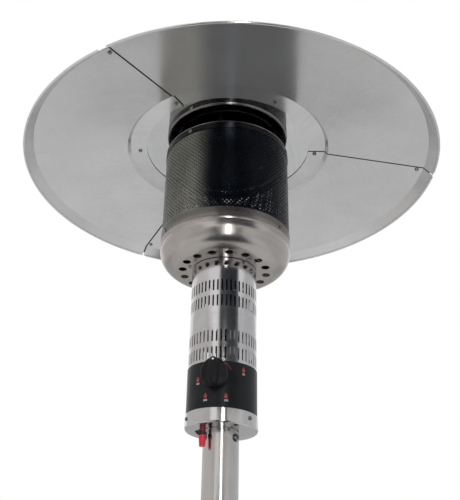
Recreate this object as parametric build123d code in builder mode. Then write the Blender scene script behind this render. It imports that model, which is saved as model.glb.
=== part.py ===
import os
from math import asin, cos, degrees, radians, sin
from build123d import *

os.makedirs("parts", exist_ok=True)

# Free-standing gas patio heater, in millimetres.
# The origin is the middle of the floor under the base, +Z is up, and the control knob faces -Y.

# Main heights above the floor
rim_height = 2135.0  # lowest edge of the reflector
bowl_floor = rim_height - 222.0  # flat underside of the burner bowl
band_top = rim_height - 419.0
band_bottom = rim_height - 498.0
cup_floor = rim_height - 523.0  # underside of the bottom cup
knob_height = rim_height - 447.0
base_top = 48.0  # ledge that the tank housing stands on
platform_top = 54.0
post_flange_top = 768.0

# Reflector
reflector_radius = 406.4
reflector_sheet = 0.8
hem_radius = 2.4
outer_band_radius = 388.0
outer_band_rise = 18.0
step_radius = 203.0
step_rise = 50.5
flange_radius = 197.0
flange_rise = 57.0
flange_inner_radius = 164.0
seam_turn = -20.0  # first seam, in degrees from the knob towards +X
lap_width = 20.0
lap_gap = 0.1
lap_outer_radius = 399.0
lap_root = 4.0  # width of the joggle that joins a lap to its own panel
flange_screw_circle = 178.0
seam_screw_radius = 377.0
centre_plate_radius = 190.0
stud_circle = 76.0

# Emitter
screen_radius = 121.3
screen_wall = 0.8
bowl_radius = 122.3
bowl_wall = 0.8
bowl_corner = 38.0
bowl_rim = rim_height - 153.0
bead_height = rim_height - 174.0
lid_height = rim_height + 40.0
lid_skirt = rim_height + 22.0
lid_slot_count = 10
lid_slot_turn = 10.5
air_hole_count = 16
air_hole_circle = 78.0
air_hole_turn = 16.5
air_hole_radius = 7.5

# Control housing
housing_radius = 59.3
housing_wall = 0.8
slot_count = 48
slot_width = 3.0
slot_height = 20.8
slot_rows = [rim_height - drop for drop in (276.7, 306.6, 372.5, 403.3)]
ring_height = rim_height - 235.0
ring_count = 21
ring_hole_radius = 3.4
ring_screws = (0, 7, 14)
ring_turn = -55.0
band_radius = 60.4
cup_radius = 61.4
knob_radius = 22.5
knob_travel = 5.0

# Post and base
post_radius = 30.0
post_wall = 1.2
base_radius = 230.0
base_sheet = 1.5
tank_radius = 208.0
tank_wall = 0.8
tank_top = 700.0
neck_height = 800.0
bracket_radius = 188.0
bracket_width = 30.0
bracket_sheet = 3.0
axle_back = 258.0
axle_height = 44.0
wheel_radius = 40.0
wheel_bore = 4.05


def heading(turn):
    """Angle from +X of a direction given in degrees from the knob towards +X."""
    return turn - 90.0


def around(radius, turn, height):
    """Point at a radius, a turn from the knob and a height."""
    angle = radians(heading(turn))
    return (radius * cos(angle), radius * sin(angle), height)


def outward(radius, turn, height):
    """Plane on a radius whose normal points away from the axis."""
    angle = radians(heading(turn))
    return Plane(
        origin=around(radius, turn, height),
        x_dir=(-sin(angle), cos(angle), 0),
        z_dir=(cos(angle), sin(angle), 0),
    )


def spun(outline, angle=360.0, start=0.0):
    """Solid turned about the heater's axis from a closed outline of (radius, height)."""
    with BuildPart() as body:
        with BuildSketch(Plane.XZ):
            with BuildLine():
                Polyline(*outline, close=True)
            make_face()
        revolve(axis=Axis.Z, revolution_arc=angle)
    return body.part.rotate(Axis.Z, start)


def spun_sheet(path, sheet, bend):
    """Sheet shell turned about the axis: a path of (radius, height), rounded, with the wall on its left."""
    with BuildPart() as body:
        with BuildSketch(Plane.XZ):
            with BuildLine():
                FilletPolyline(*path, radius=bend)
                offset(amount=sheet, side=Side.LEFT)
            make_face()
        revolve(axis=Axis.Z)
    return body.part


def pipe(radius, wall, low, high):
    """Upright tube about the axis."""
    with BuildPart() as body:
        with BuildSketch(Plane.XY.offset(low)):
            Circle(radius)
            Circle(radius - wall, mode=Mode.SUBTRACT)
        extrude(amount=high - low)
    return body.part


def screw(plane, head_radius, head_height, shank_radius, shank_length):
    """Round-headed screw: the head stands on the plane and the shank goes in behind it."""
    with BuildPart() as body:
        with BuildSketch(plane):
            Circle(head_radius)
        extrude(amount=head_height, taper=22)
        with BuildSketch(plane):
            Circle(shank_radius)
        extrude(amount=-shank_length)
    return body.part


def hex_nut(plane, flats, height, bore):
    """Hexagon nut standing on a plane."""
    with BuildPart() as body:
        with BuildSketch(plane):
            RegularPolygon(flats / 2, 6, major_radius=False)
            Circle(bore, mode=Mode.SUBTRACT)
        extrude(amount=height)
    return body.part


def bent_rod(points, radius, bend):
    """Round rod or pipe along straight runs joined by arcs."""
    with BuildPart() as body:
        with BuildLine() as route:
            FilletPolyline(*points, radius=bend)
        with BuildSketch(Plane(origin=route.line @ 0, z_dir=route.line % 0)):
            Circle(radius)
        sweep(path=route.line)
    return body.part


def save(part, name):
    """Label a finished piece and write it."""
    part.label = name
    export_step(part, f"parts/{name}.step")


# Reflector

underside = [
    (reflector_radius - hem_radius, rim_height),
    (outer_band_radius, rim_height + outer_band_rise),
    (step_radius, rim_height + step_rise),
    (flange_radius, rim_height + flange_rise),
    (flange_inner_radius, rim_height + flange_rise),
]
hem_clearance = 1.3  # degrees that the hem stops short of a seam
seam_gap = 0.22  # degrees left open at each side of a seam
screw_stand_off = 0.04  # lifts a flat screw head clear of the coned sheet


def seam_window(turn, low, high):
    """Tall slab along a seam, from one offset to another in the direction of growing turn."""
    with BuildPart() as slab:
        with BuildSketch(Plane.XY.offset(rim_height - 20)):
            with Locations(Location((0, 0, 0), (0, 0, heading(turn)))):
                with Locations((reflector_radius / 2, (low + high) / 2)):
                    Rectangle(reflector_radius + 40, high - low)
        extrude(amount=120)
    return slab.part


def sheet_wedge(turn, lift, thickness):
    """Sixteen degrees of the reflector's section about a seam, short of the neighbour's rolled edge."""
    band_slope = outer_band_rise / (reflector_radius - hem_radius - outer_band_radius)
    outer_end = (lap_outer_radius, rim_height + (reflector_radius - hem_radius - lap_outer_radius) * band_slope)
    course = [outer_end] + underside[1:]
    lower = [(r, z + lift) for r, z in course]
    upper = [(r, z + lift + thickness) for r, z in reversed(course)]
    return spun(lower + upper, 16.0, heading(turn) - 8.0)


def lap(turn, side):
    """Strip that runs on over the neighbour, with the joggle that joins it to its own panel."""
    raised = reflector_sheet + lap_gap
    strip = sheet_wedge(turn, raised, reflector_sheet)
    joggle = sheet_wedge(turn, 0, raised + reflector_sheet)
    if side > 0:
        return [strip & seam_window(turn, -lap_root, lap_width), joggle & seam_window(turn, -lap_root, -0.6)]
    return [strip & seam_window(turn, -lap_width, lap_root), joggle & seam_window(turn, 0.6, lap_root)]


def underside_plane(radius, turn):
    """Plane on the reflector's underside, facing down and square to the sheet."""
    if radius < step_radius:
        return Plane(origin=around(radius, turn, rim_height + flange_rise), z_dir=(0, 0, -1))
    run = outer_band_radius - step_radius
    rise = step_rise - outer_band_rise
    length = (run**2 + rise**2) ** 0.5
    height = rim_height + outer_band_rise + (outer_band_radius - radius) * rise / run
    angle = radians(heading(turn))
    inward = rise / length
    sheet_face = Plane(
        origin=around(radius, turn, height),
        z_dir=(-inward * cos(angle), -inward * sin(angle), -run / length),
    )
    return sheet_face.offset(screw_stand_off)


def drill(plane, radius):
    """Short hole through a sheet at a plane."""
    with BuildPart() as hole:
        with BuildSketch(plane):
            Circle(radius)
        extrude(amount=6, both=True)
    return hole.part


seams = [seam_turn + 120.0 * k for k in range(3)]
seam_side = [-1, 1, -1]  # the side of each seam that the lap covers
seam_screw_offset = 7.5
screw_hole = 2.05
screw_shank = 1.9


def beside_seam(k, radius):
    """Turn of a screw that stands in the lap beside a seam."""
    return seams[k] + seam_side[k] * degrees(asin(seam_screw_offset / radius))


seam_screw_planes = [underside_plane(seam_screw_radius, beside_seam(k, seam_screw_radius)) for k in range(3)]
flange_screw_turns = []
for k in range(3):
    flange_screw_turns += [beside_seam(k, flange_screw_circle), seams[k] + 60.0]
flange_screw_planes = [underside_plane(flange_screw_circle, turn) for turn in flange_screw_turns]


def reflector_panel(start, laps):
    """Pressed 120 degree panel with its rolled edge and its laps over the neighbours."""
    gap = seam_gap
    upper = [(r, z + reflector_sheet) for r, z in reversed(underside)]
    with BuildPart() as panel:
        add(spun(underside + upper, 120.0 - 2 * gap, heading(start) + gap))
        add(rolled_edge(start))
        for turn, side in laps:
            for piece in lap(turn, side):
                add(piece)
        for plane in seam_screw_planes + flange_screw_planes:
            add(drill(plane, screw_hole), mode=Mode.SUBTRACT)
    return panel.part


def rolled_edge(start):
    """Hem of a panel, cut back at both seams."""
    with BuildPart() as roll:
        with BuildSketch(Plane.XZ):
            with Locations((reflector_radius - hem_radius, rim_height + hem_radius - 0.4)):
                Circle(hem_radius)
        revolve(axis=Axis.Z, revolution_arc=120.0 - 2 * hem_clearance)
    return roll.part.rotate(Axis.Z, heading(start) + hem_clearance)


with BuildPart() as reflector_panel_1:
    add(reflector_panel(seams[0], [(seams[0], -1), (seams[1], 1)]))
save(reflector_panel_1.part, "reflector_panel_1")

with BuildPart() as reflector_panel_2:
    add(reflector_panel(seams[1], []))
save(reflector_panel_2.part, "reflector_panel_2")

with BuildPart() as reflector_panel_3:
    add(reflector_panel(seams[2], [(seams[2], -1)]))
save(reflector_panel_3.part, "reflector_panel_3")

plate_rise = flange_rise + 2 * reflector_sheet + lap_gap + 0.05
plate_sheet = 1.0
plate_low = rim_height + plate_rise
plate_high = plate_low + plate_sheet
stud_turns = [heading_turn for heading_turn in (0.0, 120.0, 240.0)]
stud_radius = 3.0

with BuildPart() as reflector_centre_plate:
    with BuildSketch(Plane.XZ):
        with BuildLine():
            Polyline(
                (0, plate_low),
                (centre_plate_radius, plate_low),
                (centre_plate_radius, plate_low + 6),
                (centre_plate_radius - plate_sheet, plate_low + 6),
                (centre_plate_radius - plate_sheet, plate_high),
                (0, plate_high),
                close=True,
            )
        make_face()
    revolve(axis=Axis.Z)
    for plane in flange_screw_planes:
        add(drill(plane, screw_hole), mode=Mode.SUBTRACT)
    with BuildSketch(Plane.XY.offset(plate_low)):
        with Locations(*[around(stud_circle, turn, 0)[:2] for turn in stud_turns]):
            Circle(stud_radius + 0.1)
    extrude(amount=plate_sheet, mode=Mode.SUBTRACT)
save(reflector_centre_plate.part, "reflector_centre_plate")

with BuildPart() as reflector_screws:
    for plane in seam_screw_planes:
        add(screw(plane, 4.2, 2.4, screw_shank, 6.0))
    for plane in flange_screw_planes:
        add(screw(plane, 4.2, 2.4, screw_shank, 7.0))
save(reflector_screws.part, "reflector_screws")

with BuildPart() as reflector_nuts:
    for plane in seam_screw_planes:
        back = Plane(origin=plane.origin, z_dir=-plane.z_dir)
        lap_top = 2 * reflector_sheet + lap_gap + screw_stand_off + 0.02
        add(hex_nut(back.offset(lap_top), 7.0, 3.0, screw_shank + 0.05))
    for plane in flange_screw_planes:
        back = Plane(origin=plane.origin, z_dir=-plane.z_dir)
        add(hex_nut(back.offset(plate_high - rim_height - flange_rise), 7.0, 3.0, screw_shank + 0.05))
save(reflector_nuts.part, "reflector_nuts")

# Spacer studs between the emitter's lid and the reflector

lid_recess = lid_height - 3.5

with BuildPart() as reflector_studs:
    with BuildSketch(Plane.XY.offset(lid_recess)):
        with Locations(*[around(stud_circle, turn, 0)[:2] for turn in stud_turns]):
            Circle(5.0)
    extrude(amount=plate_low - lid_recess)
    with BuildSketch(Plane.XY.offset(lid_recess - 5.0)):
        with Locations(*[around(stud_circle, turn, 0)[:2] for turn in stud_turns]):
            Circle(stud_radius)
    extrude(amount=plate_high + 7.0 - lid_recess + 5.0)
save(reflector_studs.part, "reflector_studs")

with BuildPart() as dome_nuts:
    for turn in stud_turns:
        with BuildSketch(Plane(origin=around(stud_circle, turn, plate_high))):
            RegularPolygon(5.0, 6, major_radius=False)
        extrude(amount=5.0)
        with BuildSketch(Plane(origin=around(stud_circle, turn, plate_high + 5.0))):
            Circle(4.8)
        extrude(amount=4.5, taper=28)
        with BuildSketch(Plane(origin=around(stud_circle, turn, plate_high))):
            Circle(stud_radius + 0.05)
        extrude(amount=7.5, mode=Mode.SUBTRACT)
save(dome_nuts.part, "dome_nuts")

# Emitter

with BuildPart() as emitter_lid:
    lid_path = [
        (bowl_radius, lid_skirt),
        (bowl_radius, lid_height),
        (104.0, lid_height),
        (98.0, lid_recess),
        (0, lid_recess),
    ]
    add(spun_sheet(lid_path, 0.8, [5.0, 4.0, 4.0]))
    for k in range(lid_slot_count):
        turn = lid_slot_turn + 360.0 * k / lid_slot_count
        with BuildSketch(outward(bowl_radius + 2.0, turn, lid_height - 9.5)):
            Rectangle(8.0, 9.0)
        extrude(amount=-6.0, mode=Mode.SUBTRACT)
    with BuildSketch(Plane.XY.offset(lid_recess - 2.0)):
        with Locations(*[around(stud_circle, turn, 0)[:2] for turn in stud_turns]):
            Circle(stud_radius + 0.1)
    extrude(amount=4.0, mode=Mode.SUBTRACT)
save(emitter_lid.part, "emitter_lid")

rim_screw_height = rim_height - 163.5
head_screw_turns = (-55.0, 65.0, 185.0)
floor_screw_turns = (-62.25, 50.25, 185.25)
floor_screw_circle = 67.0
small_shank = 1.6
small_hole = 1.75

with BuildPart() as emitter_screen:
    add(pipe(screen_radius, screen_wall, bead_height + 1.0, lid_skirt + 4.0))
    for turn in head_screw_turns:
        with BuildSketch(outward(screen_radius + 3.0, turn, rim_screw_height)):
            Circle(small_hole)
        extrude(amount=-8.0, mode=Mode.SUBTRACT)
save(emitter_screen.part, "emitter_screen")

bowl_floor_hole = 58.9

with BuildPart() as burner_bowl:
    bowl_path = [
        (bowl_floor_hole, bowl_floor),
        (bowl_radius, bowl_floor),
        (bowl_radius, bead_height - 3.0),
        (bowl_radius + 1.3, bead_height),
        (bowl_radius, bead_height + 3.0),
        (bowl_radius, bowl_rim),
    ]
    add(spun_sheet(bowl_path, bowl_wall, [bowl_corner, 2.0, 2.0, 2.0]))
    with BuildSketch(Plane.XY.offset(bowl_floor - 5.0)):
        with PolarLocations(air_hole_circle, air_hole_count, start_angle=heading(air_hole_turn)):
            Circle(air_hole_radius)
        with Locations(*[around(floor_screw_circle, turn, 0)[:2] for turn in floor_screw_turns]):
            Circle(small_hole)
    extrude(amount=14.0, mode=Mode.SUBTRACT)
    for turn in head_screw_turns:
        with BuildSketch(outward(bowl_radius + 3.0, turn, rim_screw_height)):
            Circle(small_hole)
        extrude(amount=-8.0, mode=Mode.SUBTRACT)
save(burner_bowl.part, "burner_bowl")

with BuildPart() as bowl_screws:
    for turn in head_screw_turns:
        add(screw(outward(bowl_radius, turn, rim_screw_height), 3.4, 2.2, small_shank, 7.0))
    for turn in floor_screw_turns:
        below = Plane(origin=around(floor_screw_circle, turn, bowl_floor), z_dir=(0, 0, -1))
        add(screw(below, 3.4, 2.2, small_shank, 6.0))
save(bowl_screws.part, "bowl_screws")

# Burner

collar_radius = 58.3
collar_wall = 1.2
collar_flange = 71.0
flange_low = bowl_floor + bowl_wall
plate_base = flange_low + collar_wall

with BuildPart() as housing_collar:
    with BuildSketch(Plane.XZ):
        with BuildLine():
            Polyline(
                (collar_radius - collar_wall, bowl_floor - 24.0),
                (collar_radius, bowl_floor - 24.0),
                (collar_radius, flange_low),
                (collar_flange, flange_low),
                (collar_flange, plate_base),
                (collar_radius - collar_wall, plate_base),
                close=True,
            )
        make_face()
    revolve(axis=Axis.Z)
    with BuildSketch(Plane.XY.offset(flange_low - 2.0)):
        with Locations(*[around(floor_screw_circle, turn, 0)[:2] for turn in floor_screw_turns]):
            Circle(small_hole)
    extrude(amount=6.0, mode=Mode.SUBTRACT)
    for k in range(ring_count):
        hole = small_hole if k in ring_screws else ring_hole_radius + 0.2
        with BuildSketch(outward(collar_radius + 2.0, ring_turn + 360.0 * k / ring_count, ring_height)):
            Circle(hole)
        extrude(amount=-6.0, mode=Mode.SUBTRACT)
save(housing_collar.part, "housing_collar")

tube_radius = 12.0
window_turns = (-6.0, 118.0, 242.0)
plate_thickness = 1.2

with BuildPart() as burner_plate:
    with BuildSketch(Plane.XY.offset(plate_base)):
        Circle(collar_flange)
        Circle(tube_radius + 0.3, mode=Mode.SUBTRACT)
        with Locations(*[around(36.0, turn, 0)[:2] for turn in window_turns]):
            Circle(16.0, mode=Mode.SUBTRACT)
        with Locations(*[around(floor_screw_circle, turn, 0)[:2] for turn in floor_screw_turns]):
            Circle(small_hole, mode=Mode.SUBTRACT)
    extrude(amount=plate_thickness)
save(burner_plate.part, "burner_plate")

port_count = 24
head_low = rim_height - 200.0

with BuildPart() as burner_head:
    with BuildSketch(Plane.XZ):
        with BuildLine():
            Polyline(
                (tube_radius + 0.1, head_low),
                (15.5, head_low),
                (15.5, head_low + 10.0),
                (60.0, head_low + 20.0),
                (60.0, head_low + 36.0),
                (48.0, head_low + 46.0),
                (0, head_low + 50.0),
                (0, head_low + 22.0),
                (tube_radius + 0.1, head_low + 22.0),
                close=True,
            )
        make_face()
    revolve(axis=Axis.Z)
    for k in range(port_count):
        with BuildSketch(outward(61.0, 360.0 * k / port_count, head_low + 28.0)):
            Rectangle(4.0, 9.0)
        extrude(amount=-8.0, mode=Mode.SUBTRACT)
save(burner_head.part, "burner_head")

tube_low = rim_height - 399.0
plate_top = plate_base + plate_thickness

with BuildPart() as mixing_tube:
    add(pipe(tube_radius, 1.0, tube_low, head_low + 21.5))
    with BuildSketch(Plane.XY.offset(plate_top)):
        Circle(18.0)
        Circle(tube_radius - 0.5, mode=Mode.SUBTRACT)
    extrude(amount=2.5)
    with BuildSketch(Plane.XZ.offset(-20.0)):
        with Locations((0, tube_low + 24.0)):
            Rectangle(10.0, 18.0)
    extrude(amount=40.0, mode=Mode.SUBTRACT)
save(mixing_tube.part, "mixing_tube")

with BuildPart() as injector:
    with BuildSketch(Plane.XZ):
        with BuildLine():
            Polyline(
                (0, tube_low - 11.0),
                (6.0, tube_low - 11.0),
                (6.0, tube_low + 1.0),
                (10.9, tube_low + 1.0),
                (10.9, tube_low + 7.0),
                (3.0, tube_low + 7.0),
                (2.0, tube_low + 14.0),
                (0, tube_low + 14.0),
                close=True,
            )
        make_face()
    revolve(axis=Axis.Z)
save(injector.part, "injector")

# Gas valve with its sprung plunger, stem and knob

valve_back = -12.0
valve_front = -44.0
valve_low = knob_height - 23.0
valve_high = knob_height + 19.0
valve_bore = 4.05
bore_end = -14.0
stem_inner_end = -35.3
knob_back = -(band_radius + knob_travel + 0.5)
knob_front = knob_back - 22.0
skirt_depth = 6.0
side_plane = Plane(origin=(0, 0, knob_height), x_dir=(1, 0, 0), z_dir=(0, -1, 0))


def rod_along_y(radius, near, far):
    """Round rod on the knob's axis, from one distance in front of the post's axis to another."""
    with BuildPart() as rod:
        with BuildSketch(side_plane.offset(near)):
            Circle(radius)
        extrude(amount=far - near)
    return rod.part


with BuildPart() as gas_valve:
    with BuildSketch(Plane.XY.offset(valve_low)):
        with Locations((0, (valve_back + valve_front) / 2)):
            Rectangle(34.0, valve_back - valve_front)
    extrude(amount=valve_high - valve_low)
    chamfer(gas_valve.edges().filter_by(Axis.Z), length=4.0)
    add(rod_along_y(7.0, 43.0, 50.0))
    add(rod_along_y(valve_bore, -bore_end, 50.0), mode=Mode.SUBTRACT)
save(gas_valve.part, "gas_valve")

with BuildPart() as valve_plunger:
    add(rod_along_y(4.0, 25.0, 35.0))
save(valve_plunger.part, "valve_plunger")

with BuildPart() as valve_spring:
    add(rod_along_y(3.8, 19.6, 25.0))
    add(rod_along_y(2.8, 19.6, 25.0), mode=Mode.SUBTRACT)
save(valve_spring.part, "valve_spring")

with BuildPart() as valve_stem:
    add(rod_along_y(4.0, -stem_inner_end, 60.0))
    add(rod_along_y(3.5, 60.0, -knob_back + 11.0))
save(valve_stem.part, "valve_stem")

with BuildPart() as control_knob:
    with BuildSketch(side_plane.offset(-knob_back)):
        Circle(knob_radius)
    extrude(amount=skirt_depth, taper=4)
    with BuildSketch(side_plane.offset(-knob_back + skirt_depth)):
        Circle(knob_radius - 4.0)
    extrude(amount=3.0, taper=40)
    with BuildSketch(side_plane.offset(-knob_back + skirt_depth)):
        with Locations((0, 1.5)):
            SlotOverall(2 * knob_radius + 1.0, 17.0, rotation=90)
    extrude(amount=22.0 - skirt_depth, taper=7)
    with BuildSketch(side_plane.offset(-knob_back)):
        Circle(3.55)
    extrude(amount=12.0, mode=Mode.SUBTRACT)
    with BuildSketch(side_plane.offset(-knob_back)):
        Circle(knob_radius - 3.0)
        Circle(7.0, mode=Mode.SUBTRACT)
    extrude(amount=3.0, mode=Mode.SUBTRACT)
save(control_knob.part, "control_knob")

plate_back = valve_front
plate_front = valve_front - 1.5
bracket_low = cup_floor + 0.8 + 1.5
bracket_high = knob_height + 27.0
wing_side = 34.5

with BuildPart() as valve_bracket:
    with BuildSketch(Plane.XY.offset(bracket_low)):
        with BuildLine():
            Polyline(
                (-32.0, plate_front),
                (wing_side, plate_front),
                (wing_side, 22.0),
                (wing_side - 1.5, 22.0),
                (wing_side - 1.5, plate_back),
                (-32.0, plate_back),
                close=True,
            )
        make_face()
    extrude(amount=bracket_high - bracket_low)
    with BuildSketch(Plane.XY.offset(bracket_low)):
        with Locations((17.0, plate_back + 4.5)):
            Rectangle(30.0, 11.0)
    extrude(amount=1.5)
    add(rod_along_y(7.2, 40.0, 50.0), mode=Mode.SUBTRACT)
save(valve_bracket.part, "valve_bracket")

# Tubes, igniter and pilot group

tube_bend = 6.0
injector_foot = tube_low - 11.0

with BuildPart() as outlet_tube:
    outlet_route = [
        (0, -22.0, valve_high),
        (0, -22.0, valve_high + 9.0),
        (0, 0, valve_high + 9.0),
        (0, 0, injector_foot),
    ]
    add(bent_rod(outlet_route, 2.5, 4.5))
save(outlet_tube.part, "outlet_tube")

pilot_height = rim_height - 168.0


def riser(turn, foot, top):
    """Route of a thin tube from the valve up through the burner plate and out beside the burner."""
    return [
        around(40.0, turn, foot),
        around(40.0, turn, rim_height - 200.0),
        around(70.0, turn, rim_height - 186.0),
        around(70.0, turn, top),
    ]


with BuildPart() as pilot_tube:
    add(bent_rod(riser(-14.0, valve_high, pilot_height), 2.0, tube_bend))
save(pilot_tube.part, "pilot_tube")

with BuildPart() as thermocouple:
    add(bent_rod(riser(-2.0, valve_high, pilot_height + 18.0), 1.6, tube_bend))
    with BuildSketch(Plane(origin=around(70.0, -2.0, pilot_height - 6.0))):
        Circle(2.6)
    extrude(amount=16.0)
save(thermocouple.part, "thermocouple")

igniter_spot = (24.9, 10.0)
igniter_low = knob_height - 33.0
igniter_high = knob_height + 7.0
electrode_spot = (17.0, -66.0)

with BuildPart() as igniter:
    with BuildSketch(Plane.XY.offset(igniter_low)):
        with Locations(igniter_spot):
            Circle(8.0)
    extrude(amount=igniter_high - igniter_low)
save(igniter.part, "igniter")

with BuildPart() as ignition_lead:
    lead_route = [
        (*igniter_spot, igniter_high),
        (*igniter_spot, rim_height - 206.0),
        (*electrode_spot, rim_height - 206.0),
        (*electrode_spot, rim_height - 184.0),
    ]
    add(bent_rod(lead_route, 1.5, 9.0))
save(ignition_lead.part, "ignition_lead")

with BuildPart() as spark_electrode:
    with BuildSketch(Plane(origin=(*electrode_spot, rim_height - 184.0))):
        Circle(3.2)
    extrude(amount=24.0)
    with BuildSketch(Plane(origin=(*electrode_spot, rim_height - 160.0))):
        Circle(1.0)
    extrude(amount=10.0)
save(spark_electrode.part, "spark_electrode")

pilot_plate_low = rim_height - 176.0

with BuildPart() as pilot_bracket:
    with BuildSketch(Plane.XY.offset(pilot_plate_low)):
        with Locations((0, -70.0)):
            Rectangle(56.0, 17.0)
        for turn, hole in ((-14.0, 2.2), (-2.0, 2.8)):
            with Locations(around(70.0, turn, 0)[:2]):
                Circle(hole, mode=Mode.SUBTRACT)
        with Locations(electrode_spot):
            Circle(3.4, mode=Mode.SUBTRACT)
    extrude(amount=1.2)
    with BuildSketch(Plane.XY.offset(plate_top)):
        with Locations((7.5, -62.4)):
            Rectangle(8.0, 1.2)
    extrude(amount=pilot_plate_low - plate_top + 1.2)
save(pilot_bracket.part, "pilot_bracket")

with BuildPart() as pilot_hood:
    hood_foot = Plane(origin=around(70.0, -14.0, pilot_height))
    with BuildSketch(hood_foot):
        Circle(6.0)
    extrude(amount=15.0)
    with BuildSketch(hood_foot.offset(3.0)):
        Circle(4.6)
    extrude(amount=12.0, mode=Mode.SUBTRACT)
    with BuildSketch(hood_foot.offset(5.0)):
        with Locations((4.0, 3.0)):
            Rectangle(8.0, 6.0)
    extrude(amount=7.0, mode=Mode.SUBTRACT)
save(pilot_hood.part, "pilot_hood")

inlet_spot = (-24.7, -33.0)
switch_low = cup_floor + 11.0
switch_high = cup_floor + 37.0

with BuildPart() as tilt_switch:
    with BuildSketch(Plane.XY.offset(switch_low)):
        with Locations(inlet_spot):
            RegularPolygon(9.0, 8, major_radius=False)
    extrude(amount=switch_high - switch_low)
save(tilt_switch.part, "tilt_switch")

with BuildPart() as supply_tube:
    supply_route = [
        (*inlet_spot, switch_high),
        (*inlet_spot, switch_high + 8.0),
        (-8.0, -28.0, switch_high + 8.0),
        (-8.0, -28.0, valve_low),
    ]
    add(bent_rod(supply_route, 2.5, 4.0))
save(supply_tube.part, "supply_tube")

stub_radius = 5.0

with BuildPart() as gas_inlet:
    with BuildSketch(Plane.XY.offset(cup_floor - 20.0)):
        with Locations(inlet_spot):
            Circle(stub_radius)
    extrude(amount=switch_low - cup_floor + 20.0)
    with BuildSketch(Plane.XY.offset(cup_floor + 0.8)):
        with Locations(inlet_spot):
            RegularPolygon(7.0, 6, major_radius=False)
    extrude(amount=5.0)
save(gas_inlet.part, "gas_inlet")

with BuildPart() as inlet_clamp:
    with BuildSketch(Plane.XY.offset(cup_floor - 13.5)):
        with Locations(inlet_spot):
            Circle(7.4)
            Circle(stub_radius + 0.1, mode=Mode.SUBTRACT)
    extrude(amount=5.0)
    for side in (-1, 1):
        ear_face = outward(0, -36.8, cup_floor - 10.5)
        ear_face.origin = (*inlet_spot, cup_floor - 10.5)
        with BuildSketch(ear_face.offset(6.2)):
            with Locations((3.2 * side, 0)):
                Rectangle(1.4, 7.0, rotation=-38.0 * side)
        extrude(amount=5.5)
save(inlet_clamp.part, "inlet_clamp")

with BuildPart() as inlet_cap:
    with BuildSketch(Plane(origin=(*inlet_spot, cup_floor - 14.0), z_dir=(0, 0, -1))):
        Circle(6.2)
    extrude(amount=18.0, taper=4.0)
    with BuildSketch(Plane(origin=(*inlet_spot, cup_floor - 14.0), z_dir=(0, 0, -1))):
        Circle(stub_radius + 0.05)
    extrude(amount=6.5, mode=Mode.SUBTRACT)
save(inlet_cap.part, "inlet_cap")

# Slotted control housing, band and cup

knob_hole = 9.0
cup_screw_turns = (-60.0, 60.0, 180.0)
cup_screw_height = rim_height - 509.0

row_bottoms = sorted(row - slot_height / 2 for row in slot_rows)
plain_starts = [cup_floor + 4.0] + [row + slot_height for row in row_bottoms]
plain_ends = row_bottoms + [bowl_floor - 1.0]


def housing_wall_rings(spans, slots):
    """Rings of the housing's wall over spans of height, cut into bars where they have slots."""
    with BuildPart() as rings:
        for low, high in spans:
            with BuildSketch(Plane.XY.offset(low)):
                Circle(housing_radius)
                Circle(housing_radius - housing_wall, mode=Mode.SUBTRACT)
                if slots:
                    with PolarLocations(housing_radius, slots, start_angle=heading(0)):
                        Rectangle(4.0, slot_width, mode=Mode.SUBTRACT)
            extrude(amount=high - low)
    return rings.part


with BuildPart() as control_housing:
    add(housing_wall_rings(zip(plain_starts, plain_ends), 0))
    for k in range(ring_count):
        hole = small_hole if k in ring_screws else ring_hole_radius
        with BuildSketch(outward(housing_radius + 3.0, ring_turn + 360.0 * k / ring_count, ring_height)):
            Circle(hole)
        extrude(amount=-6.0, mode=Mode.SUBTRACT)
    for turn in cup_screw_turns:
        with BuildSketch(outward(housing_radius + 3.0, turn, cup_screw_height)):
            Circle(small_hole)
        extrude(amount=-6.0, mode=Mode.SUBTRACT)
    add(rod_along_y(knob_hole, 40.0, 70.0), mode=Mode.SUBTRACT)
    add(housing_wall_rings([(low, low + slot_height) for low in row_bottoms], slot_count))
save(control_housing.part, "control_housing")

with BuildPart() as housing_screws:
    for k in ring_screws:
        face = outward(housing_radius, ring_turn + 360.0 * k / ring_count, ring_height)
        add(screw(face, 3.4, 2.2, small_shank, 4.0))
save(housing_screws.part, "housing_screws")

with BuildPart() as control_band:
    add(pipe(band_radius, band_radius - housing_radius - 0.1, band_bottom, band_top))
    add(rod_along_y(knob_hole, 40.0, 70.0), mode=Mode.SUBTRACT)
save(control_band.part, "control_band")

spigot_radius = post_radius - post_wall - 0.2
spigot_wall = 1.6
spigot_screw_turns = (41.0, 161.0, 281.0)
spigot_screw_circle = 37.5

with BuildPart() as bottom_cup:
    cup_path = [
        (spigot_radius + 0.15, cup_floor),
        (cup_radius, cup_floor),
        (cup_radius, cup_floor + 24.0),
    ]
    add(spun_sheet(cup_path, 0.8, [3.0]))
    with BuildSketch(Plane.XY.offset(cup_floor - 2.0)):
        with Locations(inlet_spot):
            Circle(stub_radius + 0.1)
        with Locations(*[around(spigot_screw_circle, turn, 0)[:2] for turn in spigot_screw_turns]):
            Circle(small_hole)
    extrude(amount=4.0, mode=Mode.SUBTRACT)
    for turn in cup_screw_turns:
        with BuildSketch(outward(cup_radius + 2.0, turn, cup_screw_height)):
            Circle(small_hole)
        extrude(amount=-6.0, mode=Mode.SUBTRACT)
save(bottom_cup.part, "bottom_cup")

with BuildPart() as cup_screws:
    for turn in cup_screw_turns:
        add(screw(outward(cup_radius, turn, cup_screw_height), 3.4, 2.2, small_shank, 4.5))
save(cup_screws.part, "cup_screws")

# Post

upper_bolt_height = rim_height - 536.0
lower_bolt_height = post_flange_top + 13.0
post_bolt_turns = (-56.0, 64.0, 184.0)
bolt_shank = 2.5


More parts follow.
